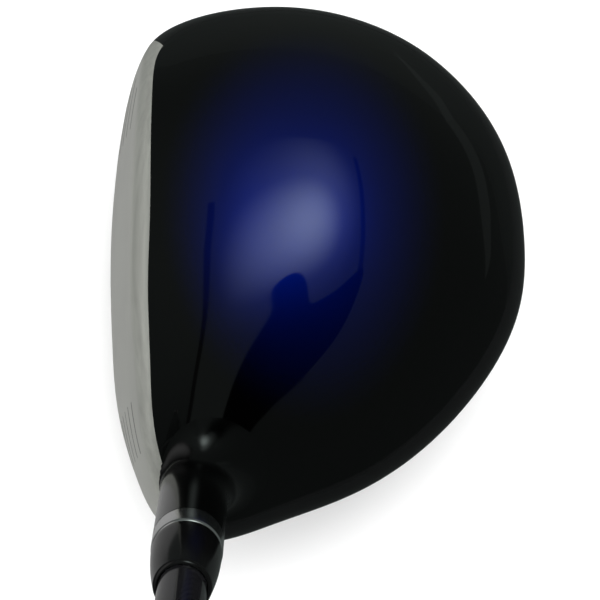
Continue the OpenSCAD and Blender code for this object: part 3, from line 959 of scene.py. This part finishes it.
def make_screw(side, metal):
    """Screw with cut threads and a six-lobed driver socket."""
    thread_foot = HEAD_SEAT - SCREW_LENGTH
    profile = [(0.4, WEIGHT_TOP - SOCKET_DEPTH), (SOCKET_R - 0.35, WEIGHT_TOP - SOCKET_DEPTH),
               (SOCKET_R, WEIGHT_TOP - SOCKET_DEPTH + 0.3), (SOCKET_R, WEIGHT_TOP - 0.2),
               (SOCKET_R + 0.15, WEIGHT_TOP), (3.7, WEIGHT_TOP), (SCREW_HEAD_R, WEIGHT_TOP - 0.5),
               (SCREW_HEAD_R, HEAD_SEAT + 0.1), (SCREW_HEAD_R - 0.1, HEAD_SEAT), (SCREW_R, HEAD_SEAT)]
    for k in range(THREAD_TURNS):
        crest = HEAD_SEAT - THREAD_START - k * THREAD_PITCH
        profile += [(SCREW_R, crest), (SCREW_R - THREAD_DEPTH, crest - THREAD_PITCH / 2)]
    profile += [(SCREW_R - 0.3, thread_foot + 0.2), (SCREW_R - 0.6, thread_foot), (0.4, thread_foot)]
    screw = lathe(side + "_screw_cut", profile, PORTS[side], ripple=socket_lobes)
    finish_piece(screw, metal, "screw_steel", side + "_weight_screw", body=side + "_screw")


def make_weights():
    metals = weight_metals()
    for side in SIDES:
        make_port(side, metals["port"])
        make_slug(side, metals["slug"])
        make_washer(side, metals["washer"])
        make_screw(side, metals["screw"])


def dress_hidden_nodes():
    """Pieces inside the club keep their CAD shape and get their real material."""
    looks = {
        "bore_plug": plain_grain("plug_foam", rgb(0.62, 0.62, 0.56), rgb(0.8, 0.8, 0.74), 0.9, 1200, 0.6),
        "epoxy_bond": plain_grain("epoxy", rgb(0.42, 0.36, 0.18), rgb(0.55, 0.48, 0.28), 0.3, 500, 0.1),
        "tip_cork": plain_grain("cork", rgb(0.28, 0.16, 0.08), rgb(0.48, 0.31, 0.17), 0.85, 700, 0.6),
        "grip_tape": plain_grain("grip_tape", rgb(0.55, 0.5, 0.38), rgb(0.68, 0.64, 0.52), 0.9, 2500, 0.3),
        "sound_ribs": plain_grain("bare_metal", rgb(0.32, 0.32, 0.33), rgb(0.45, 0.45, 0.46),
                                  0.45, 700, 0.2, 1.0),
        "rattle_glue": plain_grain("rattle_glue", rgb(0.55, 0.47, 0.28), rgb(0.68, 0.6, 0.4), 0.35, 250, 0.4),
    }
    for name, material in looks.items():
        assign(frame["nodes"][name], material)


make_head()
make_neck()
make_ring()
make_ferrule()
make_shaft()
make_grip()
make_grip_cap()
make_badge()
make_weights()
dress_hidden_nodes()

# ---------------------------------------------------------------- stage, light and camera

def square_light(name, place, aim, size, power):
    """A soft lamp that reflections don't show."""
    data = bpy.data.lights.new(name, "AREA")
    data.shape = "SQUARE"
    data.size = size
    data.energy = power
    lamp = bpy.data.objects.new(name, data)
    lamp.location = place
    lamp.rotation_euler = (Vector(aim) - Vector(place)).to_track_quat("-Z", "Y").to_euler()
    lamp.visible_glossy = False
    bpy.context.collection.objects.link(lamp)


def studio_sheet(name, vertices, faces, material, seen=True, reflected=True, lights=True):
    """A surface of the studio, not part of the object."""
    mesh = bpy.data.meshes.new(name)
    mesh.from_pydata(vertices, [], faces)
    sheet = bpy.data.objects.new(name, mesh)
    bpy.context.collection.objects.link(sheet)
    sheet.visible_camera = seen
    sheet.visible_glossy = reflected
    sheet.visible_diffuse = lights
    sheet.visible_shadow = lights
    assign(sheet, material)


def flat_sheet(name, outline, material, **visibility):
    studio_sheet(name, outline, [range(len(outline))], material, **visibility)


def rectangle(low, high, height):
    """Outline of a level rectangle between two opposite corners given as (x, y)."""
    return [(low[0], low[1], height), (high[0], low[1], height), (high[0], high[1], height),
            (low[0], high[1], height)]


def level_square(half, height):
    return rectangle((-half, -half), (half, half), height)


def floor_finish():
    paint = Paint("floor_paint", Roughness=0.9)
    paint.color(paint.mix(paint.noise(3), rgb(0.94, 0.94, 0.94), rgb(0.96, 0.96, 0.96)))
    return paint.material


# Sheets that only reflections see, and the slightly green tint of the light tent
HIDDEN = dict(seen=False, lights=False)
TENT_TINT = (0.87, 1.0, 0.96, 1)


def glow(name, strength, spots=(), tint=(1, 1, 1, 1)):
    """Emission with soft elliptical spots added, each a (strength, middle, reach along x, y and z)."""
    paint = Paint(name)
    paint.shader.inputs["Base Color"].default_value = (0, 0, 0, 1)
    paint.shader.inputs["Emission Color"].default_value = tint
    total = strength
    for extra, middle, reach in spots:
        offset = paint.vector("SUBTRACT", paint.place, middle)
        share = paint.vector("DIVIDE", offset.outputs[0], reach)
        far = paint.vector("LENGTH", share.outputs[0]).outputs["Value"]
        total = paint.math("ADD", total, paint.span(far, 0.0, 1.0, extra, 0.0, smooth=True))
    paint.link(total, paint.shader.inputs["Emission Strength"])
    return paint.material


def smooth_outline(corners, height, per_corner=8):
    """A closed curve through corners given as (x, y), at one height."""
    u = np.arange(len(corners) * per_corner) / per_corner
    return [(float(x), float(y), height) for x, y in smooth_loop(corners, u)]


def tent_dome(radius=5.0, rings=16, segments=48):
    """Half a ball round the stage, seen only in reflections."""
    vertices = [(0, 0, radius)]
    for k in range(1, rings + 1):
        down = math.pi / 2 * k / rings
        out = radius * math.sin(down)
        for j in range(segments):
            turn = 2 * math.pi * j / segments
            vertices.append((out * math.cos(turn), out * math.sin(turn), radius * math.cos(down)))
    faces = [[0, 1 + j, 1 + (j + 1) % segments] for j in range(segments)]
    for k in range(rings - 1):
        for j in range(segments):
            n = (j + 1) % segments
            faces.append([1 + k * segments + j, 1 + (k + 1) * segments + j,
                          1 + (k + 1) * segments + n, 1 + k * segments + n])
    brighter_top = [(0.08, (0, 1.5, 5), (6.5, 6.5, 6.5))]
    studio_sheet("tent_dome", vertices, faces, glow("tent_glow", 0.08, brighter_top, TENT_TINT), **HIDDEN)


def strip(path, width, height):
    """Outline of a level strip of even width along a path of (x, y)."""
    path = np.array(path)
    along = np.gradient(path, axis=0)
    side = unit(np.column_stack([-along[:, 1], along[:, 0]])) * width / 2
    both = np.vstack([path + side, (path - side)[::-1]])
    return [(float(x), float(y), height) for x, y in both]


# The floor is wide and pale. Reflections see a dim floor instead of it, and the bright card in front of
# the face.
flat_sheet("floor", level_square(6.0, 0), floor_finish(), reflected=False)
flat_sheet("dim_floor", level_square(5.2, 0.0001), glow("dim_floor_glow", 0.08, tint=TENT_TINT), **HIDDEN)
flat_sheet("front_card", rectangle((-0.12, -0.7), (-0.02, 0.06), 0.0002),
           glow("front_card_glow", 0.34), **HIDDEN)
tent_dome()

# The wall beyond the face gives its upper edge a lighter band
wall_spot = [(0.6, (-1.2, -0.1, 1.3), (1, 2.6, 1.5))]
flat_sheet("left_wall", [(-1.2, -2.4, 0.0), (-1.2, 2.0, 0.0), (-1.2, 2.0, 2.4), (-1.2, -2.4, 2.4)],
           glow("left_wall_glow", 0.0, wall_spot), **HIDDEN)

# A slim low light beyond the toe and the rear draws the faint arc inside the crown's right rim.
# Each point is (x, y, bottom, top).
RIM_LIGHT = [(0.08, 0.19, 0.001, 0.001), (0.11, 0.22, 0.001, 0.004), (0.18, 0.28, 0.001, 0.010),
             (0.26, 0.33, 0.002, 0.020), (0.48, 0.51, 0.012, 0.044), (0.68, 0.59, 0.027, 0.075),
             (0.81, 0.59, 0.044, 0.106), (0.89, 0.45, 0.073, 0.147), (0.95, 0.33, 0.096, 0.176),
             (0.99, 0.14, 0.157, 0.197), (1.00, 0.00, 0.216, 0.216)]
studio_sheet("rim_light", [(x, y, z) for x, y, bottom, top in RIM_LIGHT for z in (bottom, top)],
             [[2 * k, 2 * k + 2, 2 * k + 3, 2 * k + 1] for k in range(len(RIM_LIGHT) - 1)],
             glow("rim_light_glow", 0.15, tint=TENT_TINT), **HIDDEN)

# Light tent: a dome of even haze, a brighter panel with the soft hot spot of the lamp behind it,
# the dark seams of the panel, and the dark stand in front of it
PANEL_HEIGHT = 1.40
SEAM_HEIGHT = 1.39
STAND_HEIGHT = 1.38
PANEL_CORNERS = [(-0.12, 0.55), (-0.12, 1.05), (0.1, 1.36), (0.45, 1.43), (0.76, 1.33), (0.85, 0.88),
                 (0.83, 0.3), (0.83, -0.3), (0.8, -0.9), (0.7, -1.6), (0.3, -1.9), (0.2, -1.35),
                 (0.11, -0.8), (-0.05, 0.0)]
LEFT_SEAM = [(-0.155, 0.58), (-0.113, 0.266), (-0.053, -0.011), (0.021, -0.341), (0.109, -0.8),
             (0.181, -1.28)]
RIGHT_SEAM = [(0.855, 1.25), (0.85, 0.88), (0.83, 0.385), (0.835, 0.035), (0.84, -0.2)]
STAND_CORNERS = [(0.27, -0.03), (0.335, -0.07), (0.40, -0.19), (0.46, -0.3), (0.53, -0.29), (0.64, -0.23),
                 (0.845, -0.09), (0.885, -0.2), (0.85, -0.45), (0.8, -0.75), (0.78, -1.06), (0.867, -1.46),
                 (0.97, -1.85), (1.2, -2.5), (0.9, -2.2), (0.61, -1.54), (0.485, -1.09), (0.385, -0.65),
                 (0.325, -0.34), (0.285, -0.21), (0.237, -0.09)]
hot_spots = [(0.75, (0.36, 0.62, PANEL_HEIGHT), (0.5, 1.05, 1)),
             (2.5, (0.27, 0.34, PANEL_HEIGHT), (0.34, 0.52, 1))]
flat_sheet("tent_panel", smooth_outline(PANEL_CORNERS, PANEL_HEIGHT),
           glow("panel_glow", 0.14, hot_spots, TENT_TINT), **HIDDEN)
seam_black = glow("seam_black", 0.03)
flat_sheet("left_seam", strip(LEFT_SEAM, 0.035, SEAM_HEIGHT), seam_black, **HIDDEN)
flat_sheet("right_seam", strip(RIGHT_SEAM, 0.065, SEAM_HEIGHT), seam_black, **HIDDEN)
flat_sheet("dark_stand", smooth_outline(STAND_CORNERS, STAND_HEIGHT), glow("stand_black", 0.0), **HIDDEN)

# Even white light from all round, which reflections don't show either
world = bpy.data.worlds.new("studio")
world.use_nodes = True
background = world.node_tree.nodes["Background"]
background.inputs["Color"].default_value = (1, 1, 1, 1)
background.inputs["Strength"].default_value = 1.42
world.cycles_visibility.glossy = False
bpy.context.scene.world = world
bpy.context.scene.view_settings.view_transform = "Standard"

square_light("overhead_key", (0.35, 0.45, 1.5), (0, 0, 0), 0.9, 9)

lens = bpy.data.cameras.new("camera")
lens.lens = 120
lens.sensor_width = 36
camera = bpy.data.objects.new("camera", lens)
camera.location = (0, -0.110, 0.443)
camera.rotation_euler = (math.radians(13), 0, 0)
bpy.context.collection.objects.link(camera)
bpy.context.scene.camera = camera
